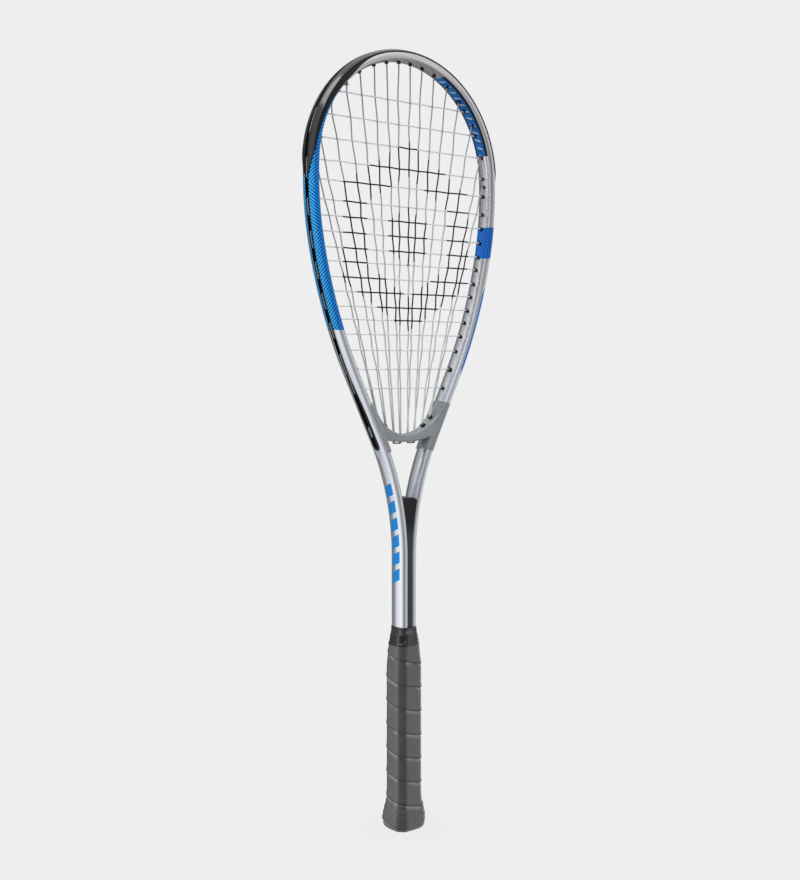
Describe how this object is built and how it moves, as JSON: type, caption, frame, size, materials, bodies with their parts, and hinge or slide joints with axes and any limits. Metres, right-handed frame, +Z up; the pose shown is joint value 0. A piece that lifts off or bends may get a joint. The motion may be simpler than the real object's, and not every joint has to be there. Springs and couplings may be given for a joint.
{
  "type": "squash racket",
  "caption": "Squash racket: a bent alloy frame tube with a moulded throat bridge and wedge, a fan string bed, a head guard, grommet strips and a wrapped handle.",
  "frame": {"origin": "centre of the butt end of the handle", "axes": "+Z up the handle to the tip of the head, X across the string face, Y through it"},
  "size_m": [0.2118, 0.032, 0.6859],
  "materials": {
    "frame_paint": "silver metallic lacquer with blue hatched panels",
    "bridge_plastic": "satin grey moulding",
    "wedge_plastic": "satin black moulding",
    "guard_plastic": "glossy black nylon",
    "grommet_plastic": "black nylon",
    "string": "pearl grey synthetic string",
    "handle_plastic": "moulded",
    "cap_plastic": "moulded black",
    "staple_steel": "bright wire",
    "badge_plastic": "plain blue disc",
    "grip": "charcoal polyurethane wrap, spiral wound",
    "tape": "black vinyl tape"
  },
  "bodies": {
    "root": {"frame_tube": "frame_paint", "throat_bridge": "bridge_plastic", "throat_wedge": "wedge_plastic", "head_guard": "guard_plastic", "grommet_strip_right": "grommet_plastic", "grommet_strip_left": "grommet_plastic", "main_string": "string", "cross_string": "string", "handle_shell_front": "handle_plastic", "handle_shell_back": "handle_plastic", "butt_cap": "cap_plastic", "butt_cap_staples": "staple_steel", "end_badge": "badge_plastic", "grip_wrap": "grip", "finishing_tape": "tape"}
  },
  "joints": []
}
